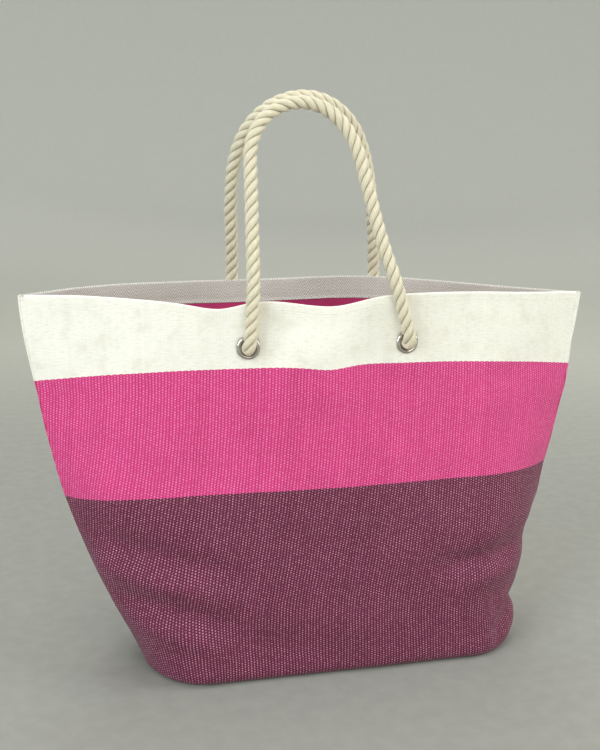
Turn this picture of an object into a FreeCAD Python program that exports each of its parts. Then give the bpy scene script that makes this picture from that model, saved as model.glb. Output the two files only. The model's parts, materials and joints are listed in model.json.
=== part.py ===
"""Striped beach bag: a wide cloth tote with a boxed flat base, a contrast lining, a twill
facing round the rim, four metal eyelets and two knotted rope handles.

Millimetres, +Z up.  X runs along the width, the front is at -Y, and the origin is the
middle of the base, on the surface that the bag stands on.
"""
import FreeCAD
import Part
import math
import os

Vector = FreeCAD.Vector

# ---------------------------------------------------------------- driving dimensions
HEIGHT = 370.0            # base to rim
RIM_WIDTH = 560.0         # between the two side seams, at the rim
RIM_HALF_GAPE = 52.0      # how far each rim stands from the middle plane, at its centre
BASE_WIDTH = 396.0
BASE_DEPTH = 150.0
BASE_CORNER = 65.0        # plan radius of the boxed corners
FLARE = 1.4               # 1 is a straight flare, more makes the sides belly out

OUTER_CLOTH = 1.6         # woven outer cloth
LINING_INSET = 2.1        # from the outer face to the lining and to the facing
LINING_CLOTH = 0.8
FACING_CLOTH = 1.2
FACING_HEIGHT = 22.0
FACING_GAP = 1.0          # facing's lower edge to the lining's upper edge
SEAM_GAP = 0.25           # each panel stops this far from the middle plane

EYELET_X = 76.0
EYELET_DROP = 44.0        # eyelet centre below the rim
EYELET_OUTER = 11.0       # radii
EYELET_BORE = 7.0
BARREL_OUTER = 7.7
CLOTH_HOLE = 7.9
FLANGE_LIFT = 0.15        # flange clear of the curved cloth
FLANGE_HEIGHT = 2.35
WASHER_TOP = -3.15        # along the eyelet's axis, 0 at the outer face, + outwards
WASHER_BOTTOM = -4.2
ROLL_BOTTOM = -4.9        # where the barrel is rolled over the washer
ROLL_OUTER = 9.3

ROPE_RADIUS = 6.5
HINGE_OUT = 9.6           # swing centre in front of the cloth
STUB_END = 2.75           # rope inside the eyelet stops just short of the swinging rope
KNOT_RADIUS = 16.0
KNOT_AT = -21.4
TAIL_LENGTH = 40.0

# Rope routes from one swing centre to the other.  The first and last points are replaced
# by the swing centres themselves.
FRONT_ROUTE = [
    (-77.0, -59.1, 326.0),
    (-74.6, -58.4, 350.0),
    (-72.3, -55.0, 384.0),
    (-71.7, -42.2, 430.0),
    (-70.3, -27.6, 477.0),
    (-70.0, -18.4, 509.0),
    (-51.5, -10.8, 535.4),
    (-20.5, -8.4, 545.8),
    (9.6, -10.6, 536.0),
    (30.0, -19.0, 508.0),
    (39.4, -32.4, 463.0),
    (49.0, -45.0, 420.0),
    (60.4, -55.2, 386.0),
    (69.0, -58.4, 355.0),
    (77.0, -59.1, 326.0),
]
BACK_ROUTE = [
    (-77.0, 59.1, 326.0),
    (-74.0, 58.4, 350.0),
    (-72.4, 55.2, 384.0),
    (-76.4, 42.6, 428.0),
    (-79.0, 27.6, 476.0),
    (-71.0, 16.8, 514.0),
    (-47.0, 10.2, 541.0),
    (-12.0, 8.4, 551.0),
    (21.0, 10.4, 540.0),
    (45.0, 18.6, 512.0),
    (60.0, 31.6, 466.0),
    (69.0, 45.4, 420.0),
    (73.4, 55.2, 384.0),
    (74.6, 58.4, 352.0),
    (77.0, 59.1, 326.0),
]

ACROSS = 33               # surface points across a panel
UP = 9                    # surface points up a panel
END = 0.999999


# ---------------------------------------------------------------- shape of the bag
def base_point(s):
    """Half the base outline, y >= 0, for s from -1 to 1 from one side seam to the other."""
    flat_end = BASE_DEPTH / 2 - BASE_CORNER
    corner = BASE_CORNER * math.pi / 2
    flat_front = BASE_WIDTH / 2 - BASE_CORNER
    along = (1 - abs(s)) * (flat_end + corner + flat_front)
    if along < flat_end:
        x, y = BASE_WIDTH / 2, along
    elif along < flat_end + corner:
        turn = (along - flat_end) / BASE_CORNER
        x = flat_front + BASE_CORNER * math.cos(turn)
        y = flat_end + BASE_CORNER * math.sin(turn)
    else:
        x, y = flat_front - (along - flat_end - corner), BASE_DEPTH / 2
    return math.copysign(x, s), y


def outline(s, z):
    """Outer face of a panel at height z: the base outline turning into the rim's curve."""
    flare = 1 - (1 - min(z / HEIGHT, 1.0)) ** FLARE
    base_x, base_y = base_point(s)
    rim_x, rim_y = s * RIM_WIDTH / 2, RIM_HALF_GAPE * (1 - s * s)
    return base_x + (rim_x - base_x) * flare, base_y + (rim_y - base_y) * flare


def inset_point(s, z, inset):
    step = 1e-4
    x, y = outline(s, z)
    x0, y0 = outline(max(s - step, -END), z)
    x1, y1 = outline(min(s + step, END), z)
    length = math.hypot(x1 - x0, y1 - y0)
    return x + inset * (y1 - y0) / length, y - inset * (x1 - x0) / length


def section(z, inset):
    """Points across one panel at height z, from seam to seam, stopping SEAM_GAP short."""
    low, high = 0.5, END
    for _ in range(40):
        middle = (low + high) / 2
        if inset_point(middle, z, inset)[1] > SEAM_GAP:
            low = middle
        else:
            high = middle
    steps = [low * (2 * i / (ACROSS - 1) - 1) for i in range(ACROSS)]
    return [inset_point(s, z, inset) for s in steps]


def skin(z_low, z_high, inset_out, inset_in):
    """A curved wall of the back half of the bag, between two insets from the outer face."""
    heights = [z_low + (z_high - z_low) * i / (UP - 1) for i in range(UP)]
    faces = []
    edges = []
    for inset in (inset_out, inset_in):
        grid = [[Vector(x, y, z) for x, y in section(z, inset)] for z in heights]
        surface = Part.BSplineSurface()
        surface.interpolate(grid)
        u0, u1, v0, v1 = surface.bounds()
        faces.append(surface.toShape())
        edges.append([surface.uIso(u0), surface.uIso(u1), surface.vIso(v0), surface.vIso(v1)])
    for outer, inner in zip(*edges):
        faces.append(Part.makeRuledSurface(outer.toShape(), inner.toShape()))
    shell = Part.Shell(faces)
    shell.sewShape()
    return solid_of(shell)


def solid_of(shell):
    solid = Part.Solid(shell)
    if solid.Volume < 0:
        solid.reverse()
    return solid


def base_plate(inset, z_low, thickness):
    """The half of the base that belongs to the back panel, as a flat plate."""
    rim = Part.BSplineCurve()
    rim.interpolate([Vector(x, y, z_low) for x, y in section(0.0, inset)])
    edge = rim.toShape()
    seam = Part.makeLine(edge.Vertexes[-1].Point, edge.Vertexes[0].Point)
    face = Part.Face(Part.Wire([edge, seam]))
    return face.extrude(Vector(0, 0, thickness))


def walled_half(inset, thickness, z_floor, z_top):
    """Wall and half base of one panel or one lining, as one folded cloth."""
    wall = skin(z_floor, z_top, inset, inset + thickness)
    plate = base_plate(inset + thickness / 2, z_floor, thickness)
    return wall.fuse(plate)


# ---------------------------------------------------------------- eyelets
def eyelet_frame(side):
    """Point on the outer face and outward direction, for the back panel's eyelets."""
    z = HEIGHT - EYELET_DROP
    low, high = 0.0, 1.0
    for _ in range(40):
        s = (low + high) / 2
        if outline(s, z)[0] < EYELET_X:
            low = s
        else:
            high = s
    step = 0.01
    rise = 1.0
    across = Vector(*outline(s + step, z), z) - Vector(*outline(s - step, z), z)
    upwards = Vector(*outline(s, z + rise), z + rise) - Vector(*outline(s, z - rise), z - rise)
    normal = upwards.cross(across)
    normal.normalize()
    x, y = outline(s, z)
    return Vector(side * x, y, z), Vector(side * normal.x, normal.y, normal.z)


def on_axis(shape, side):
    point, normal = eyelet_frame(side)
    turn = FreeCAD.Rotation(Vector(0, 0, 1), normal)
    placed = shape.copy()
    placed.Placement = FreeCAD.Placement(point, turn)
    return placed


def turned(profile):
    """Solid of revolution about the eyelet's axis from (radius, height) points."""
    corners = [Vector(r, 0, z) for r, z in profile]
    wire = Part.makePolygon(corners + [corners[0]])
    return Part.Face(wire).revolve(Vector(0, 0, 0), Vector(0, 0, 1), 360)


def eyelet():
    """Barrel through the cloth with a domed flange in front and a rolled end behind."""
    crown = (EYELET_BORE + EYELET_OUTER) / 2
    dome = Part.Arc(Vector(EYELET_BORE, 0, 1.1), Vector(crown, 0, FLANGE_HEIGHT),
                    Vector(EYELET_OUTER, 0, 0.8)).toShape()
    outline_points = [(EYELET_OUTER, 0.8), (EYELET_OUTER, FLANGE_LIFT), (BARREL_OUTER, FLANGE_LIFT),
                      (BARREL_OUTER, WASHER_BOTTOM - 0.1), (ROLL_OUTER, WASHER_BOTTOM - 0.1),
                      (ROLL_OUTER, ROLL_BOTTOM), (EYELET_BORE, ROLL_BOTTOM), (EYELET_BORE, 1.1)]
    corners = [Vector(r, 0, z) for r, z in outline_points]
    sides = [Part.makeLine(a, b) for a, b in zip(corners, corners[1:])]
    wire = Part.Wire([dome] + sides)
    return Part.Face(wire).revolve(Vector(0, 0, 0), Vector(0, 0, 1), 360)


def washer():
    return turned([(BARREL_OUTER + 0.15, WASHER_TOP), (EYELET_OUTER - 0.6, WASHER_TOP),
                   (EYELET_OUTER - 0.6, WASHER_TOP - 0.6), (EYELET_OUTER - 1.4, WASHER_BOTTOM),
                   (BARREL_OUTER + 0.15, WASHER_BOTTOM)])


def cloth_punch():
    return Part.makeCylinder(CLOTH_HOLE, 30, Vector(0, 0, -15))


# ---------------------------------------------------------------- rope
def rope_end(side):
    """The rope through an eyelet, the knot behind it and the tail below the knot."""
    stub = Part.makeCylinder(ROPE_RADIUS, STUB_END - KNOT_AT, Vector(0, 0, KNOT_AT))
    knot = Part.makeSphere(KNOT_RADIUS, Vector(0, 0, KNOT_AT))
    inside = on_axis(stub.fuse(knot), side)
    point, normal = eyelet_frame(side)
    centre = point + normal * KNOT_AT
    tail = Part.makeCylinder(ROPE_RADIUS, TAIL_LENGTH, centre, Vector(0.1 * side, -0.06, -1))
    return inside.fuse(tail)


def swing_centre(side):
    point, normal = eyelet_frame(side)
    return point + normal * HINGE_OUT


def rounded_route(points, name):
    """Straight runs joined by tangent arcs, each as large as its two runs allow."""
    edges = []
    radii = []
    start = points[0]
    for before, corner, after in zip(points, points[1:], points[2:]):
        into = before - corner
        out = after - corner
        reach = 0.45 * min(into.Length, out.Length)
        half_turn = (math.pi - into.getAngle(out)) / 2
        radius = reach / math.tan(half_turn)
        radii.append(radius)
        into.normalize()
        out.normalize()
        first = corner + into * reach
        last = corner + out * reach
        inward = into + out
        inward.normalize()
        middle = corner + inward * (radius / math.cos(half_turn) - radius)
        edges.append(Part.LineSegment(start, first).toShape())
        edges.append(Part.Arc(first, middle, last).toShape())
        start = last
    edges.append(Part.LineSegment(start, points[-1]).toShape())
    print(name, "bend radii", " ".join("%.0f" % r for r in radii))
    return Part.Wire(edges)


def rope_arc(route, name):
    """The rope between the swing centres, with a ball of its own radius on each."""
    points = [Vector(*p) for p in route]
    facing = math.copysign(1, route[0][1])
    for index, side in ((0, -1), (-1, 1)):
        centre = swing_centre(side)
        points[index] = Vector(centre.x, facing * centre.y, centre.z)
    path = rounded_route(points, name)
    start = points[1] - points[0]
    ring = Part.Wire(Part.makeCircle(ROPE_RADIUS, points[0], start))
    tube = path.makePipeShell([ring], True, False)
    section_area = math.pi * ROPE_RADIUS ** 2
    print(name, "length %.1f" % path.Length,
          "volume over section x length %.4f" % (tube.Volume / (section_area * path.Length)))
    for centre in (points[0], points[-1]):
        tube = tube.fuse(Part.makeSphere(ROPE_RADIUS, centre))
    return tube


# ---------------------------------------------------------------- assembly
def to_front(shape):
    return shape.mirror(Vector(0, 0, 0), Vector(0, 1, 0))


def both_faces(nodes, name, shape):
    """A piece of the back face and its twin on the front face."""
    nodes["back_" + name] = shape
    nodes["front_" + name] = to_front(shape)


def build():
    nodes = {}
    panel = walled_half(0.0, OUTER_CLOTH, 0.0, HEIGHT)
    lining_top = HEIGHT - FACING_HEIGHT - FACING_GAP
    lining = walled_half(LINING_INSET, LINING_CLOTH, LINING_INSET, lining_top)
    facing = skin(HEIGHT - FACING_HEIGHT, HEIGHT - 0.4, LINING_INSET, LINING_INSET + FACING_CLOTH)
    for side in (-1, 1):
        punch = on_axis(cloth_punch(), side)
        panel = panel.cut(punch)
        lining = lining.cut(punch)
    both_faces(nodes, "panel", panel)
    both_faces(nodes, "lining", lining)
    both_faces(nodes, "facing", facing)
    for side, word in ((-1, "left"), (1, "right")):
        both_faces(nodes, word + "_eyelet", on_axis(eyelet(), side))
        both_faces(nodes, word + "_washer", on_axis(washer(), side))
        both_faces(nodes, word + "_rope_end", rope_end(side))
    nodes["front_handle"] = rope_arc(FRONT_ROUTE, "front handle")
    nodes["back_handle"] = rope_arc(BACK_ROUTE, "back handle")
    return nodes


def main():
    os.makedirs("parts", exist_ok=True)
    for name, shape in build().items():
        solid = shape.Solids[0]
        box = solid.BoundBox
        print("%-22s solids %d valid %s volume %.0f  x %.1f %.1f  y %.1f %.1f  z %.1f %.1f" % (
            name, len(shape.Solids), solid.isValid(), solid.Volume,
            box.XMin, box.XMax, box.YMin, box.YMax, box.ZMin, box.ZMax))
        solid.exportStep("parts/%s.step" % name)
    centre = swing_centre(1)
    print("swing centre x %.3f y %.3f z %.3f" % (centre.x, centre.y, centre.z))


main()
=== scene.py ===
"""Striped beach bag: a woven cloth body in three bands with a boxed base, a magenta lining,
a twill facing round the rim, four nickel eyelets and two laid cotton rope handles, each
knotted inside the bag.

Metres, +Z up.  X runs along the width, the front is at -Y and the bag stands on z = 0.
"""
import json
import math

import bmesh
import bpy
import numpy as np
from mathutils import Matrix, Vector, noise


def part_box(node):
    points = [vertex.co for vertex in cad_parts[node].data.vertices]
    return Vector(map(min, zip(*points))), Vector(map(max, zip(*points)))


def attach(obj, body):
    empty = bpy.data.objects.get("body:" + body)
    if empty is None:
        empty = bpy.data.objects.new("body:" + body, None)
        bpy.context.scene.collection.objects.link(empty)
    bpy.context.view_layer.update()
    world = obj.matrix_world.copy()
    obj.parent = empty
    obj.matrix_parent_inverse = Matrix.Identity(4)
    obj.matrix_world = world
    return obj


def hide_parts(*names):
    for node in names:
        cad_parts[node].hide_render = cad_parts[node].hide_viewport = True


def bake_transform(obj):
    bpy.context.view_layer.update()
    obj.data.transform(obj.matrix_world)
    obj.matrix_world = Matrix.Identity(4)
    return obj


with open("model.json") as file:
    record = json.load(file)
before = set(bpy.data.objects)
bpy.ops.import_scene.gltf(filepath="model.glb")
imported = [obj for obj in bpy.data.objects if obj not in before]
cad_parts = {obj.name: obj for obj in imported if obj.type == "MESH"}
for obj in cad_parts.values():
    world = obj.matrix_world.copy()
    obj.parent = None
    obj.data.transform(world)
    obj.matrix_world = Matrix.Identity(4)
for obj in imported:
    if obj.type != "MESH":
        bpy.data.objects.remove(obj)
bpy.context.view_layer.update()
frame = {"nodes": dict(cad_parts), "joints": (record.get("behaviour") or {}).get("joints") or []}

# ---------------------------------------------------------------- sizes
_, panel_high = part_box("back_panel")
HEIGHT = panel_high[2]             # base to rim
RIM_HALF = 0.280                   # middle to side seam, along the rim
RIM_GAPE = 0.052
BASE_HALF = 0.198
BASE_DEEP = 0.075
BASE_CORNER = 0.065
FLARE = 1.4
BASE_FOLD = 0.009                  # radius where the wall turns under
BASE_LEAN = 0.020                  # how far the soft base has slid to the right

CLOTH = 0.0014
RIM_ROLL = 0.0017                  # radius of the turned edge
FACING_IN = 0.0034                 # inner face of the facing, behind the outer face
FACING_DEEP = 0.0195
LINING_IN = 0.0031
LINING_CLOTH = 0.0007
FACING_CLOTH = 0.0010
FACING_STEP = 0.0006               # the facing's lower edge turns in by this much
LINED_TO = 0.988                   # lining and facing end at this share of the half width
CLOTH_CLEAR, LINING_CLEAR, FACING_CLEAR = 0.0001, 0.0004, 0.0006   # from the middle plane
BANDS = (0.0685, 0.186)            # white ends, pink ends, below the rim's level

EYELET_X = 0.076
EYELET_DROP = 0.044
EYELET_HOLE = 0.0096               # radius of the hole in the cloths, hidden by the ring
ROPE_RADIUS = 0.0065
EYELET_RUN = (-0.018, -0.006, 0.002)   # the rope passes these on the eyelet's axis, + outward
HINGE_OUT = 0.0096                 # the rope turns this far in front of the cloth
ROPE_LAY = 0.031                   # one full turn of a strand

FRONT_ROUTE = [
    (-0.0746, -0.0584, 0.350),
    (-0.0723, -0.0550, 0.384),
    (-0.0717, -0.0422, 0.430),
    (-0.0703, -0.0276, 0.477),
    (-0.0700, -0.0184, 0.509),
    (-0.0515, -0.0108, 0.5354),
    (-0.0205, -0.0084, 0.5458),
    (0.0096, -0.0106, 0.536),
    (0.0300, -0.0190, 0.508),
    (0.0394, -0.0324, 0.463),
    (0.0490, -0.0450, 0.420),
    (0.0604, -0.0552, 0.386),
    (0.0690, -0.0584, 0.355),
]
BACK_ROUTE = [
    (-0.0740, 0.0584, 0.350),
    (-0.0724, 0.0552, 0.384),
    (-0.0764, 0.0426, 0.428),
    (-0.0790, 0.0276, 0.476),
    (-0.0710, 0.0168, 0.514),
    (-0.0470, 0.0102, 0.541),
    (-0.0120, 0.0084, 0.551),
    (0.0210, 0.0104, 0.540),
    (0.0450, 0.0186, 0.512),
    (0.0600, 0.0316, 0.466),
    (0.0690, 0.0454, 0.420),
    (0.0734, 0.0552, 0.384),
    (0.0746, 0.0584, 0.352),
]
FRONT, BACK = -1, 1
FACES = {"front": FRONT, "back": BACK}
SIDES = {"left": -1, "right": 1}


# ---------------------------------------------------------------- camera
def make_camera():
    data = bpy.data.cameras.new("camera")
    data.lens = 50.3
    data.clip_start = 0.05
    camera = bpy.data.objects.new("camera", data)
    bpy.context.collection.objects.link(camera)
    yaw = Matrix.Rotation(math.radians(-13.70), 4, "Z")
    pitch = Matrix.Rotation(math.radians(90 - 14.14), 4, "X")
    roll = Matrix.Rotation(math.radians(1.0), 4, "Z")
    camera.matrix_world = Matrix.Translation((-0.2500, -0.9636, 0.5354)) @ yaw @ pitch @ roll
    bpy.context.scene.camera = camera


make_camera()


# ---------------------------------------------------------------- materials
def paint(red, green, blue):
    """A display colour, 0 to 255, as the linear colour that a shader takes."""
    def linear(c):
        c /= 255
        return c / 12.92 if c <= 0.04045 else ((c + 0.055) / 1.055) ** 2.4
    return (linear(red), linear(green), linear(blue), 1.0)


class Value:
    """A number in a finish.  Arithmetic on it adds Math nodes."""

    def __init__(self, finish, socket):
        self.finish = finish
        self.socket = socket

    def maths(self, operation, *terms):
        return self.finish.node("ShaderNodeMath", {"operation": operation}, dict(enumerate(terms)))

    def __add__(self, other):
        return self.maths("ADD", self, other)

    __radd__ = __add__

    def __sub__(self, other):
        return self.maths("SUBTRACT", self, other)

    def __rsub__(self, other):
        return self.maths("SUBTRACT", other, self)

    def __mul__(self, other):
        return self.maths("MULTIPLY", self, other)

    __rmul__ = __mul__

    def __truediv__(self, other):
        return self.maths("DIVIDE", self, other)

    def __mod__(self, other):
        return self.maths("FLOORED_MODULO", self, other)

    def __abs__(self):
        return self.maths("ABSOLUTE", self)

    def floor(self):
        return self.maths("FLOOR", self)

    def sine(self):
        return self.maths("SINE", self)

    def above(self, low, high):
        """0 below low, 1 above high, smooth between."""
        return self.finish.node("ShaderNodeMapRange", {"interpolation_type": "SMOOTHSTEP"},
                                {"Value": self, "From Min": low, "From Max": high})


class Finish:
    """One procedural material."""

    def __init__(self, name):
        self.material = bpy.data.materials.new(name)
        self.material.use_nodes = True
        self.tree = self.material.node_tree
        self.tree.nodes.clear()

    def node(self, kind, settings=None, inputs=None, output=0):
        made = self.tree.nodes.new(kind)
        for key, value in (settings or {}).items():
            setattr(made, key, value)
        for key, value in (inputs or {}).items():
            if isinstance(value, Value):
                self.tree.links.new(value.socket, made.inputs[key])
            else:
                made.inputs[key].default_value = value
        return Value(self, made.outputs[output]) if made.outputs else None

    def grain(self):
        """The cloth's or rope's own coordinates, kept on its points."""
        own = self.node("ShaderNodeAttribute", {"attribute_name": "grain"}, output="Vector")
        return own, *self.parts(own)

    def parts(self, vector):
        split = self.node("ShaderNodeSeparateXYZ", inputs={0: vector})
        outputs = split.socket.node.outputs
        return tuple(Value(self, outputs[i]) for i in range(3))

    def joined(self, x, y, z=0.0):
        return self.node("ShaderNodeCombineXYZ", inputs={0: x, 1: y, 2: z})

    def place(self):
        return self.node("ShaderNodeTexCoord", output="Object")

    def noise(self, where, scale, detail=2.0, roughness=0.5):
        return self.node("ShaderNodeTexNoise", {"noise_dimensions": "3D"},
                         {"Vector": where, "Scale": scale, "Detail": detail, "Roughness": roughness})

    def chance(self, x, y):
        """A random number for each whole x and y."""
        return self.node("ShaderNodeTexWhiteNoise", {"noise_dimensions": "2D"},
                         {"Vector": self.joined(x, y)})

    def mix(self, share, first, second, blend="MIX"):
        return self.node("ShaderNodeMix", {"data_type": "RGBA", "blend_type": blend},
                         {0: share, 6: first, 7: second}, output=2)

    def bump(self, height, distance, strength=1.0):
        return self.node("ShaderNodeBump", inputs={"Height": height, "Distance": distance,
                                                   "Strength": strength})

    def surface(self, **inputs):
        named = {key.replace("_", " "): value for key, value in inputs.items()}
        shader = self.node("ShaderNodeBsdfPrincipled", inputs=named)
        self.node("ShaderNodeOutputMaterial", inputs={"Surface": shader})
        return self.material


RIB = 0.0030                       # one rib to the next, across the cloth
PICK = 0.00235                     # one raised dot to the next, along a rib


def striped_cloth():
    """Ribbed cloth with a pale thread that shows as a dot in every second row, in three bands."""
    f = Finish("striped cloth")
    grain, across, down, _ = f.grain()
    drift = f.noise(grain, 45.0, 1.0) * 0.0016
    ribs = (across + drift) / RIB
    column = ribs.floor()
    rib_x = abs(ribs - column - 0.5)
    odd = column % 2.0
    picks = (down + drift) / PICK + odd * 0.5
    row = picks.floor()
    pick_y = abs(picks - row - 0.5)
    cell = f.chance(column, row)
    thread = f.chance(column, 3.0)
    groove = rib_x.above(0.28, 0.5)
    edge = down + odd * 0.00025 + cell * 0.0002
    in_pink = edge.above(BANDS[0] - 0.0002, BANDS[0] + 0.0002)
    in_plum = edge.above(BANDS[1] - 0.0002, BANDS[1] + 0.0002)
    reach = (rib_x * rib_x) / 0.085 + (pick_y * pick_y) / 0.11 + in_plum * 0.22
    dot = (1.0 - reach.above(0.15, 1.10)) * (0.30 + 0.70 * cell)

    def banded(white, pink, plum):
        return f.mix(in_plum, f.mix(in_pink, white, pink), plum)

    yarn = banded(paint(236, 235, 224), paint(204, 59, 124), paint(100, 34, 64))
    shadow = banded(paint(226, 225, 212), paint(174, 36, 96), paint(72, 20, 42))
    pale = banded(paint(243, 243, 235), paint(252, 166, 208), paint(226, 170, 186))
    colour = f.mix(groove * (0.05 + 0.55 * in_pink), yarn, shadow)
    colour = f.mix(dot * (0.70 + 0.25 * in_plum), colour, pale)
    tone = f.noise(grain, 14.0, 3.0) * 0.5 + thread * 0.5
    colour = f.mix(0.16, colour, f.mix(tone, paint(120, 110, 112), paint(255, 250, 246)), "OVERLAY")
    slub = f.noise(f.joined(across * 150.0, down * 800.0), 1.0, 3.0, 0.6)
    cloud = f.noise(grain, 60.0, 3.0)
    in_white = 1.0 - in_pink
    colour = f.mix(slub.above(0.46, 0.70) * in_white * 0.42, colour, paint(208, 206, 190))
    colour = f.mix(cloud.above(0.48, 0.75) * in_white * 0.35, colour, paint(212, 208, 190))
    fibre = f.noise(grain, 1600.0, 3.0)
    raised = (1.0 - groove) * 0.55 + dot * 0.45
    height = raised * (0.08 + 0.77 * in_pink) + fibre * 0.16 + slub * in_white * 0.55
    return f.surface(Base_Color=colour, Roughness=0.80 - dot * 0.10, Sheen_Weight=0.12,
                     Sheen_Roughness=0.45, Specular_IOR_Level=0.30,
                     Normal=f.bump(height, 0.0005, 0.7))


def lining_cloth():
    """Plain-woven magenta lining with a slight lustre."""
    f = Finish("lining cloth")
    grain, across, down, _ = f.grain()
    warp = (across * (2 * math.pi / 0.0007)).sine()
    weft = (down * (2 * math.pi / 0.0007)).sine()
    tone = f.noise(grain, 20.0, 4.0)
    colour = f.mix(tone.above(0.25, 0.75), paint(162, 26, 86), paint(190, 38, 106))
    colour = f.mix(f.noise(grain, 900.0, 2.0).above(0.45, 0.8) * 0.35, colour, paint(206, 86, 138))
    height = warp * weft * 0.35 + f.noise(grain, 500.0, 3.0)
    return f.surface(Base_Color=colour, Roughness=0.62 + tone * 0.16, Sheen_Weight=0.15,
                     Normal=f.bump(height, 0.00016, 0.5))


def facing_twill():
    """Grey cream cotton twill, its diagonals turning back and forth in columns."""
    f = Finish("facing twill")
    grain, across, down, _ = f.grain()
    column = across / 0.0150
    turned = abs(column - column.floor() - 0.5) * 0.0300
    slant = (turned + down + f.noise(grain, 120.0) * 0.0006) / 0.0034
    wale = (slant * (2 * math.pi)).sine() * 0.5 + 0.5
    pick = ((across / 0.0014) * (2 * math.pi)).sine() * 0.5 + 0.5
    tone = f.noise(grain, 30.0, 3.0)
    colour = f.mix(wale * (0.7 + 0.3 * pick), paint(152, 147, 142), paint(240, 236, 228))
    colour = f.mix(tone.above(0.35, 0.8) * 0.3, colour, paint(198, 192, 181))
    height = wale * 0.7 + pick * 0.25 + f.noise(grain, 1500.0, 2.0) * 0.3
    return f.surface(Base_Color=colour, Roughness=0.84 - wale * 0.06, Sheen_Weight=0.1,
                     Normal=f.bump(height, 0.0005, 0.8))


def rope_cotton():
    """Natural cotton yarns laid side by side, with a few dark specks and loose fibres, and painted
    shade in the gaps between yarns and deep in the grooves between strands.
    """
    f = Finish("rope cotton")
    grain, around, along, depth = f.grain()
    turn = around + along / 0.0215
    yarn_at = turn * 20.0 + f.noise(grain, 30.0) * 0.5
    number = yarn_at.floor()
    yarn = (1.0 - abs(yarn_at - number - 0.5) * 2.0).above(0.0, 0.75)
    strand_noise = f.noise(f.joined(turn * 40.0, along * 160.0, around * 3.0), 1.0, 4.0, 0.6)
    tone = f.chance(number % 20.0, 7.0)
    # Painted shade: the darker colour goes in the gaps between neighbouring yarns, the paler one on
    # their crowns.
    colour = f.mix(yarn, paint(192, 182, 148), paint(238, 231, 205))
    colour = f.mix(tone * 0.45, colour, paint(224, 214, 182))
    colour = f.mix(strand_noise.above(0.40, 0.75) * 0.55, colour, paint(246, 242, 224))
    specks = f.noise(f.place(), 900.0, 1.0).above(0.74, 0.80)
    colour = f.mix(specks * 0.5, colour, paint(140, 116, 78))
    # Painted shade: darker deep in the grooves between the strands, by each point's distance from the
    # rope's middle.
    colour = f.mix(1.0 - depth.above(0.52, 0.86), colour, paint(128, 112, 80))
    height = yarn * 0.7 + strand_noise * 0.6
    return f.surface(Base_Color=colour, Roughness=0.88 - yarn * 0.06, Sheen_Weight=0.2,
                     Sheen_Roughness=0.6, Specular_IOR_Level=0.25,
                     Normal=f.bump(height, 0.0005, 0.9))


def polished_nickel():
    f = Finish("polished nickel")
    rubbed = f.noise(f.place(), 700.0, 4.0, 0.6)
    x, y, z = f.parts(f.place())
    scratches = f.noise(f.joined(x * 300.0, y * 300.0, z * 4000.0), 1.0, 2.0)
    colour = f.mix(rubbed.above(0.5, 0.8), paint(196, 192, 186), paint(160, 155, 149))
    return f.surface(Base_Color=colour, Metallic=1.0, Roughness=0.09 + rubbed * 0.08,
                     Normal=f.bump(scratches, 0.00004, 0.25))


def thread_cotton(name, colour):
    f = Finish(name)
    twist = f.noise(f.place(), 2400.0, 3.0)
    shade = tuple(c * 0.78 for c in colour[:3]) + (1.0,)
    return f.surface(Base_Color=f.mix(twist.above(0.3, 0.7), shade, colour),
                     Roughness=0.62 + twist * 0.2, Normal=f.bump(twist, 0.00015, 0.6))


def studio_paper():
    f = Finish("studio paper")
    fibre = f.noise(f.place(), 60.0, 4.0)
    x, y, _ = f.parts(f.place())
    # Painted shade: the floor is darker near the middle, where the bag stands, and lighter out
    # towards the wall.
    away = x * x + y * y
    tone = f.mix(away.above(0.1, 2.5), paint(146, 147, 140), paint(176, 177, 167))
    tone = f.mix(away.above(2.5, 10.0), tone, paint(209, 210, 202))
    colour = f.mix(fibre.above(0.3, 0.7) * 0.03, tone, paint(255, 255, 250))
    return f.surface(Base_Color=colour, Roughness=0.94, Specular_IOR_Level=0.1)


# ---------------------------------------------------------------- mesh helpers
def put(name, mesh, *finishes):
    made = bpy.data.objects.new(name, mesh)
    bpy.context.collection.objects.link(made)
    for finish in finishes:
        mesh.materials.append(finish)
    mesh.polygons.foreach_set("use_smooth", [True] * len(mesh.polygons))
    return made


def keep_grain(mesh, grain):
    attribute = mesh.attributes.new("grain", "FLOAT_VECTOR", "POINT")
    attribute.data.foreach_set("vector", np.asarray(grain, np.float32).ravel())


def smooth(t):
    t = np.clip(t, 0.0, 1.0)
    return t * t * (3 - 2 * t)


# ---------------------------------------------------------------- the bag's shape
def base_outline(s):
    """Half the base outline, y >= 0, for s from -1 to 1 between the side seams."""
    flat_end = BASE_DEEP - BASE_CORNER
    corner = BASE_CORNER * math.pi / 2
    flat_front = BASE_HALF - BASE_CORNER
    along = (1 - np.abs(s)) * (flat_end + corner + flat_front)
    turn = np.clip((along - flat_end) / BASE_CORNER, 0, math.pi / 2)
    x = flat_front + BASE_CORNER * np.cos(turn) - np.maximum(along - flat_end - corner, 0)
    y = np.minimum(along, flat_end) + BASE_CORNER * np.sin(turn)
    return np.copysign(x, s), y


def wall(s, z):
    """Outer face at height z, for the back panel."""
    flare = 1 - (1 - np.clip(z / HEIGHT, 0, 1)) ** FLARE
    base_x, base_y = base_outline(s)
    x = base_x + (s * RIM_HALF - base_x) * flare
    y = base_y + (RIM_GAPE * (1 - s * s) - base_y) * flare
    return np.stack([x, y, z + 0 * s], axis=-1)


def surface_normals(points):
    """Outward normals of a grid whose rows run down the bag and columns run across it."""
    across = np.gradient(points, axis=1)
    down = np.gradient(points, axis=0)
    normals = np.cross(across, down)
    return normals / np.maximum(np.linalg.norm(normals, axis=-1, keepdims=True), 1e-12)


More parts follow.
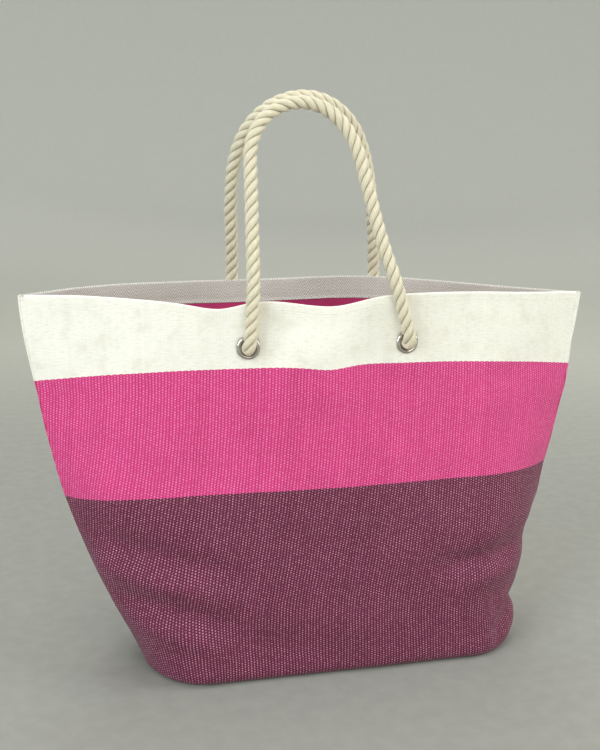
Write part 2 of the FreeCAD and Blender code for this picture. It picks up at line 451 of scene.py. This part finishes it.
def eyelet_frame(face, side):
    """Middle of an eyelet on the outer face, and the outward direction there."""
    z = HEIGHT - EYELET_DROP
    low, high = 0.0, 1.0
    for _ in range(40):
        s = (low + high) / 2
        if wall(np.array(s), z)[0] < EYELET_X:
            low = s
        else:
            high = s
    step = 0.01
    rise = 0.001
    across = Vector(wall(np.array(s + step), z)) - Vector(wall(np.array(s - step), z))
    upwards = Vector(wall(np.array(s), z + rise)) - Vector(wall(np.array(s), z - rise))
    normal = upwards.cross(across).normalized()
    x, y, _ = wall(np.array(s), z)
    return Vector((side * x, face * y, z)), Vector((side * normal.x, face * normal.y, normal.z))


# Ridges and hollows of the soft cloth on each face: from, to (x, z), width, and how far
# the middle stands out, all in metres.
FRONT_FOLDS = [
    (-0.240, 0.150, -0.085, 0.104, 0.013, -0.0060),
    (-0.240, 0.118, -0.110, 0.088, 0.012, 0.0040),
    (-0.225, 0.094, -0.085, 0.052, 0.013, -0.0062),
    (-0.210, 0.070, -0.100, 0.030, 0.014, 0.0044),
    (-0.250, 0.205, -0.120, 0.150, 0.026, 0.0034),
    (-0.150, 0.050, 0.020, 0.018, 0.016, -0.0026),
    (0.080, 0.100, 0.222, 0.112, 0.010, -0.0062),
    (0.100, 0.080, 0.222, 0.092, 0.012, 0.0040),
    (0.150, 0.018, 0.215, 0.056, 0.009, -0.0055),
    (0.140, 0.060, 0.210, 0.070, 0.012, -0.0025),
    (0.165, 0.012, 0.218, 0.036, 0.010, 0.0030),
    (0.060, 0.150, 0.190, 0.128, 0.022, 0.0030),
    (0.240, 0.310, 0.180, 0.272, 0.016, -0.0020),
    (-0.020, 0.350, -0.010, 0.250, 0.035, 0.0030),
    (-0.050, 0.365, -0.052, 0.300, 0.012, -0.0024),
    (0.045, 0.365, 0.040, 0.290, 0.016, -0.0020),
]
BACK_FOLDS = [
    (-0.240, 0.120, -0.090, 0.050, 0.022, -0.0045),
    (-0.220, 0.080, -0.110, 0.025, 0.018, 0.0035),
    (0.235, 0.140, 0.080, 0.060, 0.024, -0.0045),
    (0.225, 0.100, 0.110, 0.030, 0.018, 0.0035),
    (-0.060, 0.190, 0.070, 0.110, 0.034, 0.0030),
    (0.020, 0.360, 0.015, 0.270, 0.034, 0.0025),
    (-0.180, 0.250, -0.090, 0.180, 0.030, -0.0020),
]
FOLDS = {FRONT: FRONT_FOLDS, BACK: BACK_FOLDS}
# How far each side edge is drawn in (+) or pushed out (-): height, distance.
LEFT_DRAW = [
    (0.000, 0.008), (0.030, 0.004), (0.050, 0.001), (0.070, -0.002), (0.095, -0.004),
    (0.118, -0.005), (0.140, -0.005), (0.180, -0.004), (0.230, 0.000), (0.280, 0.0035),
    (0.330, 0.002), (0.370, 0.002),
]
RIGHT_DRAW = [
    (0.000, 0.0080), (0.011, 0.0062), (0.021, 0.0068), (0.032, 0.0093), (0.042, 0.0140),
    (0.053, 0.0132), (0.063, 0.0125), (0.074, 0.0113), (0.084, 0.0110), (0.095, 0.0115),
    (0.105, 0.0122), (0.116, 0.0104), (0.127, 0.0064), (0.145, 0.0032), (0.180, 0.0028),
    (0.210, 0.0000), (0.240, -0.0010), (0.262, -0.0028), (0.283, -0.0018), (0.310, 0.001),
    (0.370, 0.001),
]


# Where the front rim dips: x, width, depth.
RIM_DIPS = [
    (0.004, 0.036, 0.0095), (-0.100, 0.024, 0.0040), (-0.112, 0.055, 0.0095),
    (-0.035, 0.030, 0.0035), (0.010, 0.050, 0.0015), (-0.185, 0.030, 0.0015),
]


def swell(x, at, width, height):
    """A rounded rise, highest at one place."""
    return height * np.exp(-((x - at) / width) ** 2)


def rim_height(face, x):
    """The soft rim rises and dips as it goes round."""
    high = HEIGHT - 0.004 + 0.008 * (1 - (x / RIM_HALF) ** 2) - 0.0045 * x / RIM_HALF
    if face == BACK:
        return high + 0.0015 * np.sin(x / 0.045)
    dips = sum(swell(x, *dip) for dip in RIM_DIPS)
    return high - dips + swell(x, 0.130, 0.060, 0.001)


def band_level(x, z):
    """The height that the bands are measured down from."""
    left = 0.0144 * np.clip(-x / 0.257, 0, None) ** 3
    right = 0.0190 * np.clip(x / 0.259, 0, None) ** 2.5
    right = right * (0.45 + 0.55 * smooth((z - 0.185) / 0.115))
    sag = swell(x, 0.0, 0.022, 0.0035) * smooth((z - 0.220) / 0.060)
    return HEIGHT + 0.0055 - left - right - sag


def rib_slide(down):
    """How far the ribs have slid across by this distance down: they lean to the left."""
    at = np.linspace(0, 0.60, 601)
    slope = np.interp(at, (0.060, 0.110, 0.150, 0.215, 0.290, 0.330),
                      (0.000, 0.090, 0.155, 0.260, 0.260, 0.000))
    return np.interp(down, at, np.cumsum(slope) * (at[1] - at[0]))


def ridge(x, z, x0, z0, x1, z1, width, height):
    """A soft fold along a line, fading out at both ends."""
    length = math.hypot(x1 - x0, z1 - z0)
    ux, uz = (x1 - x0) / length, (z1 - z0) / length
    along = (x - x0) * ux + (z - z0) * uz
    aside = (x - x0) * uz - (z - z0) * ux
    fade = smooth(along / (0.35 * length)) * smooth((length - along) / (0.35 * length))
    return height * fade * np.exp(-(aside / width) ** 2)


def soft_noise(points, size, seed):
    return np.array([[noise.noise(Vector(p) / size + Vector((seed, 0, 0))) for p in row]
                     for row in points])


class Panel:
    """One face of the bag as a grid: down the wall, round the fold and in under the base."""

    ACROSS = 165
    WALL_ROWS = 104
    FOLD_ROWS = 6
    BASE_ROWS = 12

    def __init__(self, face):
        self.face = face
        even = np.linspace(-1, 1, self.ACROSS)
        near_seam = np.array([0.9945, 0.9975])
        self.s = np.sort(np.concatenate([even, near_seam, -near_seam]))
        rim = rim_height(face, self.s * RIM_HALF)
        self.points = self.fair_surface(rim)
        self.normals = surface_normals(self.points)
        self.depth = rim[None, :] - self.points[..., 2]
        self.grain = self.cloth_grain()
        self.points += self.normals * self.relief()[..., None]
        self.draw_sides()
        if face == FRONT:
            self.points[..., 1] *= -1
        self.normals = surface_normals(self.points) * face

    def fair_surface(self, rim):
        rows = []
        for i in range(self.WALL_ROWS):
            share = i / (self.WALL_ROWS - 1)
            rows.append(wall(self.s, rim + (BASE_FOLD - rim) * share))
        last = rows[-1]
        side = surface_normals(np.stack([wall(self.s, BASE_FOLD + 0.002 + 0 * self.s), last]))[1]
        side[:, 2] = 0
        for i in range(1, self.FOLD_ROWS + 1):
            angle = math.pi / 2 * i / self.FOLD_ROWS
            row = last - side * BASE_FOLD * (1 - math.cos(angle))
            row[:, 2] = BASE_FOLD * (1 - math.sin(angle))
            rows.append(row)
        edge = rows[-1]
        for i in range(1, self.BASE_ROWS + 1):
            share = i / self.BASE_ROWS
            row = edge * np.array([1 - 0.12 * share, 1 - share, 1])
            rows.append(row)
        points = np.stack(rows)
        points[..., 1] = np.maximum(points[..., 1], 0.0)
        return points

    def cloth_grain(self):
        """Distance across from the middle thread and down from the top, in the flat cloth."""
        steps = np.linalg.norm(np.diff(self.points, axis=1), axis=-1)
        across = np.concatenate([np.zeros((len(steps), 1)), np.cumsum(steps, axis=1)], axis=1)
        middle = across[:, across.shape[1] // 2][:, None]
        across = across - middle
        under = self.WALL_ROWS + self.FOLD_ROWS
        across[under:] = across[under - 1]
        x, z = self.points[..., 0], self.points[..., 2]
        down = band_level(x, z) - z
        steps = np.linalg.norm(np.diff(self.points[self.WALL_ROWS - 1:], axis=0), axis=-1)
        down[self.WALL_ROWS:] = down[self.WALL_ROWS - 1] + np.cumsum(steps, axis=0)
        across += rib_slide(down) * (1.0 if self.face == FRONT else 0.4)
        return np.stack([across, down, 0 * down], axis=-1)

    def row_at(self, depth):
        """The row that runs nearest this far below the rim."""
        return int(np.argmin(np.abs(self.depth[:60, self.ACROSS // 2] - depth)))

    def off_eyelets(self, low=0.012, high=0.040):
        """0 at the eyelets, where the cloth is clamped flat, and 1 away from them."""
        x, z = self.points[..., 0], self.points[..., 2]
        clear = 1.0
        for side in SIDES.values():
            away = np.hypot(x - side * EYELET_X, z - (HEIGHT - EYELET_DROP))
            clear = clear * smooth((away - low) / (high - low))
        return clear

    def relief(self):
        """How far the cloth stands out from the fair surface."""
        x, z = self.points[..., 0], self.points[..., 2]
        on_wall = smooth(z / 0.012)
        out = 0.0024 * soft_noise(self.points, 0.085, 3.1 + self.face)
        out += 0.0011 * soft_noise(self.points, 0.034, 9.7 + self.face)
        out += 0.0004 * soft_noise(self.points, 0.014, 5.3 + self.face)
        for fold in FOLDS[self.face]:
            out += ridge(x, z, *fold)
        out += 0.004 * np.exp(-((z - 0.09) / 0.07) ** 2)
        out *= smooth((1 - np.abs(self.s)) / 0.10)[None, :] * 0.85 + 0.15
        out -= 0.0011 * smooth((np.abs(self.s) - 0.990) / 0.010)[None, :]
        return out * on_wall * self.off_eyelets()

    def draw_sides(self):
        z = self.points[..., 2]
        left = smooth((-self.s - 0.35) / 0.60)[None, :]
        right = smooth((self.s - 0.45) / 0.50)[None, :]
        self.points[..., 0] += left * np.interp(z, *zip(*LEFT_DRAW))
        self.points[..., 0] -= right * np.interp(z, *zip(*RIGHT_DRAW))
        self.points[..., 0] += BASE_LEAN * (1 - smooth(z / 0.300))

    def inset(self, depth, gap):
        """The same surface further in, stopping short of the other face."""
        moved = self.points - self.normals * depth
        moved[..., 2] = np.maximum(moved[..., 2], depth)
        return clear_of_middle(moved, self.face, gap)


def clear_of_middle(points, face, gap):
    y = points[..., 1]
    points[..., 1] = np.maximum(y, gap) if face == BACK else np.minimum(y, -gap)
    return points


def grid_mesh(name, points, grain, turned):
    """A mesh from a grid of points, its faces turned over if asked."""
    rows, columns = points.shape[:2]
    number = np.arange(rows * columns).reshape(rows, columns)
    quads = np.stack([number[:-1, :-1], number[:-1, 1:], number[1:, 1:], number[1:, :-1]], axis=-1)
    quads = quads.reshape(-1, 4)
    if turned:
        quads = quads[:, ::-1]
    mesh = bpy.data.meshes.new(name)
    mesh.from_pydata(points.reshape(-1, 3).tolist(), [], quads.tolist())
    keep_grain(mesh, grain.reshape(-1, 3))
    return mesh


def punch_holes(mesh, face, radius=EYELET_HOLE):
    """Open the cloth at both eyelets and draw the cut edge to a circle under the ring."""
    work = bmesh.new()
    work.from_mesh(mesh)
    # Points that meet at the ends of the base become one.
    bmesh.ops.remove_doubles(work, verts=work.verts, dist=0.00008)
    for side in SIDES.values():
        middle, normal = eyelet_frame(face, side)

        def off_axis(place):
            away = place - middle
            return away - normal * away.dot(normal)
        near = [f for f in work.faces if (f.calc_center_median() - middle).length < 0.03
                and off_axis(f.calc_center_median()).length < radius]
        bmesh.ops.delete(work, geom=near, context="FACES")
        for vert in work.verts:
            away = off_axis(vert.co)
            if vert.is_boundary and away.length < 2 * radius and (vert.co - middle).length < 0.03:
                vert.co += away * (radius / away.length - 1)
    work.to_mesh(mesh)
    work.free()


def thicken(made, thickness):
    solid = made.modifiers.new("thickness", "SOLIDIFY")
    solid.thickness = thickness
    solid.offset = -1
    solid.use_rim = True


def rolled_edge(panel, inner):
    """Rows that turn the top edge over: from the outer face, or from the inner one."""
    top, normal = panel.points[0], panel.normals[0]
    rows = []
    for i in range(7):
        angle = math.pi / 2 * i / 6
        reach = RIM_ROLL * (1 - math.cos(angle))
        depth = FACING_IN - reach if inner else reach
        row = top - normal * depth
        row[:, 2] = top[:, 2] + RIM_ROLL * math.sin(angle) - RIM_ROLL
        rows.append(row)
    tuck = rows[-1].copy()
    tuck[:, 2] -= 0.0008
    return np.stack(rows + [tuck])[::-1]


def make_cloths(word, face, finishes):
    """Outer cloth, lining and facing of one face."""
    panel = Panel(face)
    grain = panel.grain
    cut = panel.row_at(RIM_ROLL) + 1

    edge = rolled_edge(panel, False)
    rise = (RIM_ROLL * (1 - np.arange(len(edge)) / len(edge)))[:, None]
    edge_grain = np.repeat(grain[:1], len(edge), axis=0)
    edge_grain[..., 1] -= rise
    points = clear_of_middle(np.concatenate([edge, panel.points[cut:]]), face, CLOTH_CLEAR)
    mesh = grid_mesh(word + "_cloth", points, np.concatenate([edge_grain, grain[cut:]]),
                     face == FRONT)
    punch_holes(mesh, face)
    outer = put(word + "_cloth", mesh, finishes["cloth"])
    thicken(outer, CLOTH)
    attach(outer, "bag")
    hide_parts(word + "_panel")

    # The lining and the facing stop short of the side seams.
    kept = np.abs(panel.s) < LINED_TO
    start = panel.row_at(FACING_DEEP - 0.002)
    inside = panel.inset(LINING_IN, LINING_CLEAR)
    mesh = grid_mesh(word + "_lining_cloth", inside[start:, kept], grain[start:, kept],
                     face == BACK)
    punch_holes(mesh, face)
    lining = put(word + "_lining_cloth", mesh, finishes["lining"])
    thicken(lining, LINING_CLOTH)
    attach(lining, "bag")
    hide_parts(word + "_lining")

    stop = start + 2
    lower = panel.inset(FACING_IN + FACING_STEP, FACING_CLEAR)[stop - 1:stop]
    lower[..., 2] -= FACING_STEP
    strip = np.concatenate([rolled_edge(panel, True),
                            panel.inset(FACING_IN, FACING_CLEAR)[cut:stop], lower])
    strip_grain = np.concatenate([edge_grain, grain[cut:stop], grain[stop - 1:stop]])
    strip = clear_of_middle(strip, face, FACING_CLEAR)
    mesh = grid_mesh(word + "_facing_strip", strip[:, kept], strip_grain[:, kept], face == BACK)
    facing = put(word + "_facing_strip", mesh, finishes["facing"])
    thicken(facing, FACING_CLOTH)
    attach(facing, "bag")
    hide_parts(word + "_facing")
    return panel


# ---------------------------------------------------------------- rope
def smooth_line(points):
    """Close points along the smooth curve that these control points shape."""
    data = bpy.data.curves.new("rope line", "CURVE")
    data.dimensions = "3D"
    spline = data.splines.new("NURBS")
    spline.points.add(len(points) - 1)
    for knot, place in zip(spline.points, points):
        knot.co = (*place, 1.0)
    spline.order_u = 3
    spline.use_endpoint_u = True
    spline.resolution_u = 24
    holder = bpy.data.objects.new("rope line", data)
    mesh = bpy.data.meshes.new_from_object(holder)
    line = [v.co.copy() for v in mesh.vertices]
    bpy.data.objects.remove(holder)
    bpy.data.curves.remove(data)
    bpy.data.meshes.remove(mesh)
    return line


def even_steps(line, step):
    """The line again, at equal steps."""
    places = np.array([tuple(p) for p in line])
    run = np.concatenate([[0], np.cumsum(np.linalg.norm(np.diff(places, axis=0), axis=1))])
    at = np.linspace(0, run[-1], int(round(run[-1] / step)) + 1)
    return np.stack([np.interp(at, run, places[:, i]) for i in range(3)], axis=1), at


def carried_frames(places):
    """Two directions across the line at each place, carried along it without twist."""
    tangents = np.gradient(places, axis=0)
    tangents /= np.linalg.norm(tangents, axis=1, keepdims=True)
    start = Vector(tangents[0]).orthogonal().normalized()
    firsts = [np.array(start)]
    for tangent in tangents[1:]:
        first = firsts[-1] - tangent * firsts[-1].dot(tangent)
        firsts.append(first / np.linalg.norm(first))
    firsts = np.array(firsts)
    return firsts, np.cross(tangents, firsts)


def laid_rope(name, line, finish, radius=ROPE_RADIUS, lay=ROPE_LAY, phase=0.0, flare_end=0.0):
    """Three strands laid round each other along a line."""
    places, at = even_steps(line, 0.0016)
    first, second = carried_frames(places)
    around = 22
    high = 0.515 * radius
    wide = 0.60 * radius
    middle = radius - high
    verts = []
    grain = []
    faces = []
    for strand in range(3):
        angle = 2 * math.pi * (at / lay + strand / 3) + phase
        outward = first * np.cos(angle)[:, None] + second * np.sin(angle)[:, None]
        aside = second * np.cos(angle)[:, None] - first * np.sin(angle)[:, None]
        spread = 1 + flare_end * smooth((at - at[-1] + 0.012) / 0.012)
        base = len(verts)
        for j in range(len(places)):
            for k in range(around):
                turn = 2 * math.pi * ((k + 0.5) / around - 0.5)
                out = middle * spread[j] + high * math.cos(turn)
                off = wide * math.sin(turn)
                verts.append(places[j] + outward[j] * out + aside[j] * off)
                grain.append((turn / (2 * math.pi) + strand * 0.31, at[j] + strand * 0.11,
                              math.hypot(out, off) / radius))
        for j in range(len(places) - 1):
            for k in range(around):
                a = base + j * around + k
                b = base + j * around + (k + 1) % around
                faces.append((a, b, b + around, a + around))
        faces.append(tuple(base + k for k in reversed(range(around))))
        faces.append(tuple(base + (len(places) - 1) * around + k for k in range(around)))
    mesh = bpy.data.meshes.new(name)
    mesh.from_pydata([tuple(v) for v in verts], [], faces)
    keep_grain(mesh, grain)
    return put(name, mesh, finish), places


def knot_line(face, side):
    """Inside the eyelet the rope takes one and a half turns round itself, and its tail hangs."""
    middle, normal = eyelet_frame(face, side)
    inward = -normal
    up = Vector((0, 0, 1))
    across = up.cross(inward).normalized()
    rise = inward.cross(across)
    points = [middle + inward * 0.010, middle + inward * 0.0155 + across * 0.004]
    turns = 1.5
    steps = 13
    for i in range(steps):
        share = i / (steps - 1)
        angle = 2 * math.pi * turns * share
        reach = 0.0092 + 0.0006 * math.sin(3 * angle)
        depth = 0.0140 + 0.0130 * share
        points.append(middle + inward * depth + across * reach * math.cos(angle)
                      + rise * reach * math.sin(angle))
    below = middle + inward * 0.0225
    points.append(below - across * 0.006 - up * 0.016)
    points.append(below - across * 0.001 - up * 0.030)
    points.append(below + across * 0.001 - up * 0.046)
    return points


def make_handle(word, face, route, finishes):
    ends = {name: eyelet_frame(face, side) for name, side in SIDES.items()}
    hinge = Vector(next(j for j in frame["joints"] if j["name"] == word + "_handle_swing")["pos_m"])

    def through(name):
        middle, normal = ends[name]
        turn_at = Vector((middle.x + normal.x * HINGE_OUT, hinge.y, hinge.z))
        return [middle + normal * out for out in EYELET_RUN] + [turn_at]
    points = through("left") + [Vector(p) for p in route] + through("right")[::-1]
    rope, path = laid_rope(word + "_rope", smooth_line(points), finishes["rope"])
    for name, side in SIDES.items():
        knot, _ = laid_rope("%s_%s_knot" % (word, name), smooth_line(knot_line(face, side)),
                            finishes["rope"], 0.94 * ROPE_RADIUS, 0.030, 1.0 + side, 0.35)
        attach(knot, "bag")
        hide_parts("%s_%s_rope_end" % (word, name))
    body = word + "_handle"
    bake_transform(rope)
    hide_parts(body)


# ---------------------------------------------------------------- stitching
def stitch_row(name, line, normals, finish, length=0.0028, gap=0.0012, thick=0.00023):
    """A run of lock stitches laid along a line on the cloth."""
    line = np.asarray(line)
    run = np.concatenate([[0], np.cumsum(np.linalg.norm(np.diff(line, axis=0), axis=1))])
    verts = []
    faces = []
    rings = (0.0, 0.12, 0.5, 0.88, 1.0)
    girth = (0.35, 0.85, 1.0, 0.85, 0.35)
    lift = (-0.8, 0.3, 0.7, 0.3, -0.8)
    sides = 6
    for i in range(int(run[-1] / (length + gap))):
        start = i * (length + gap) + gap / 2
        base = len(verts)
        for share, wide, high in zip(rings, girth, lift):
            at = start + share * length
            place = np.array([np.interp(at, run, line[:, k]) for k in range(3)])
            ahead = np.array([np.interp(at + 0.0005, run, line[:, k]) for k in range(3)]) - place
            ahead /= max(np.linalg.norm(ahead), 1e-9)
            out = np.array([np.interp(at, run, normals[:, k]) for k in range(3)])
            aside = np.cross(ahead, out)
            for k in range(sides):
                turn = 2 * math.pi * k / sides
                verts.append(place + out * thick * (high + wide * math.sin(turn))
                             + aside * thick * 1.2 * wide * math.cos(turn))
        for j in range(len(rings) - 1):
            for k in range(sides):
                a = base + j * sides + k
                b = base + j * sides + (k + 1) % sides
                faces.append((a, b, b + sides, a + sides))
        faces.append(tuple(base + k for k in reversed(range(sides))))
        faces.append(tuple(base + (len(rings) - 1) * sides + k for k in range(sides)))
    mesh = bpy.data.meshes.new(name)
    mesh.from_pydata([tuple(v) for v in verts], [], faces)
    made = put(name, mesh, finish)
    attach(made, "bag")
    return made


def make_stitching(word, panel, finishes):
    """Rows beside the rim, at the lower edge of the facing and beside the seam of the base."""
    rows = {"rim": (0.0052, 0.0), "facing": (FACING_DEEP - 0.0045, FACING_IN)}
    inner = slice(3, -3)
    for label, (down, depth) in rows.items():
        j = panel.row_at(down)
        side = 1 if depth == 0 else -1
        line = (panel.points[j] - panel.normals[j] * depth)[inner]
        thread = finishes["thread" if depth == 0 else "facing_thread"]
        stitches = stitch_row("%s_%s_stitches" % (word, label), line,
                              panel.normals[j][inner] * side, thread)
    j = panel.points.shape[0] - 3
    line = panel.points[j][slice(8, -8)].copy()
    line[:, 2] -= 0.0001
    stitch_row(word + "_base_stitches", line, panel.normals[j][slice(8, -8)],
                       finishes["dark_thread"])


# ---------------------------------------------------------------- metal
def finish_metal(finishes):
    for name, node in frame["nodes"].items():
        if name.endswith(("_eyelet", "_washer")):
            if not node.material_slots:
                node.data.materials.append(None)
            for socket in node.material_slots:
                socket.link = "OBJECT"
                socket.material = finishes["nickel"]


# ---------------------------------------------------------------- studio
def make_studio(finishes):
    """A pale floor that rises in one curve to a low wall all round."""
    profile = [(0.0, 0.0), (0.6, 0.0), (1.4, 0.0), (2.4, 0.0)]
    bend = 1.3
    for i in range(1, 13):
        turn = math.pi / 2 * i / 12
        profile.append((2.4 + bend * math.sin(turn), bend * (1 - math.cos(turn))))
    profile.append((2.4 + bend, 3.4))
    around = 96
    verts = []
    faces = []
    for radius, height in profile:
        for k in range(around):
            turn = 2 * math.pi * k / around
            verts.append((radius * math.cos(turn), radius * math.sin(turn), height))
    for j in range(len(profile) - 1):
        for k in range(around):
            a = j * around + k
            b = j * around + (k + 1) % around
            faces.append((a, b, b + around, a + around))
    mesh = bpy.data.meshes.new("floor")
    mesh.from_pydata(verts, [], faces)
    floor = put("floor", mesh, finishes["paper"])


def softbox(name, place, size, power, colour):
    data = bpy.data.lights.new(name, "AREA")
    data.shape = "RECTANGLE"
    data.size, data.size_y = size
    data.energy = power
    data.color = colour
    light = bpy.data.objects.new(name, data)
    bpy.context.collection.objects.link(light)
    aim = Vector((0, 0, 0.28)) - Vector(place)
    light.matrix_world = Matrix.Translation(place) @ aim.to_track_quat("-Z", "Y").to_matrix().to_4x4()
    light.visible_camera = False


def make_lights():
    softbox("left softbox", (-2.0, -1.4, 1.3), (1.4, 1.8), 46, (0.88, 0.94, 1.0))
    softbox("front softbox", (0.4, -2.2, 1.5), (1.6, 1.4), 22, (1.0, 0.95, 0.88))
    softbox("right softbox", (2.0, -0.6, 1.2), (1.2, 1.6), 23, (0.95, 0.98, 1.0))
    softbox("top softbox", (0.0, 0.3, 2.3), (2.0, 2.0), 25, (1.0, 0.98, 0.94))
    softbox("back softbox", (0.6, 2.1, 1.5), (1.6, 1.4), 14, (1.0, 0.98, 0.95))
    world = bpy.data.worlds.new("studio air")
    world.use_nodes = True
    sky = world.node_tree.nodes["Background"]
    sky.inputs["Color"].default_value = (0.94, 0.96, 1.0, 1.0)
    sky.inputs["Strength"].default_value = 0.42
    bpy.context.scene.world = world
    bpy.context.scene.view_settings.view_transform = "Standard"


# ---------------------------------------------------------------- making
finishes = {
    "cloth": striped_cloth(),
    "lining": lining_cloth(),
    "facing": facing_twill(),
    "rope": rope_cotton(),
    "nickel": polished_nickel(),
    "thread": thread_cotton("white thread", paint(244, 242, 230)),
    "facing_thread": thread_cotton("grey thread", paint(204, 198, 188)),
    "dark_thread": thread_cotton("plum thread", paint(112, 54, 76)),
    "paper": studio_paper(),
}
make_handle("front", FRONT, FRONT_ROUTE, finishes)
make_handle("back", BACK, BACK_ROUTE, finishes)
for word, face in FACES.items():
    panel = make_cloths(word, face, finishes)
    make_stitching(word, panel, finishes)
finish_metal(finishes)
make_studio(finishes)
make_lights()
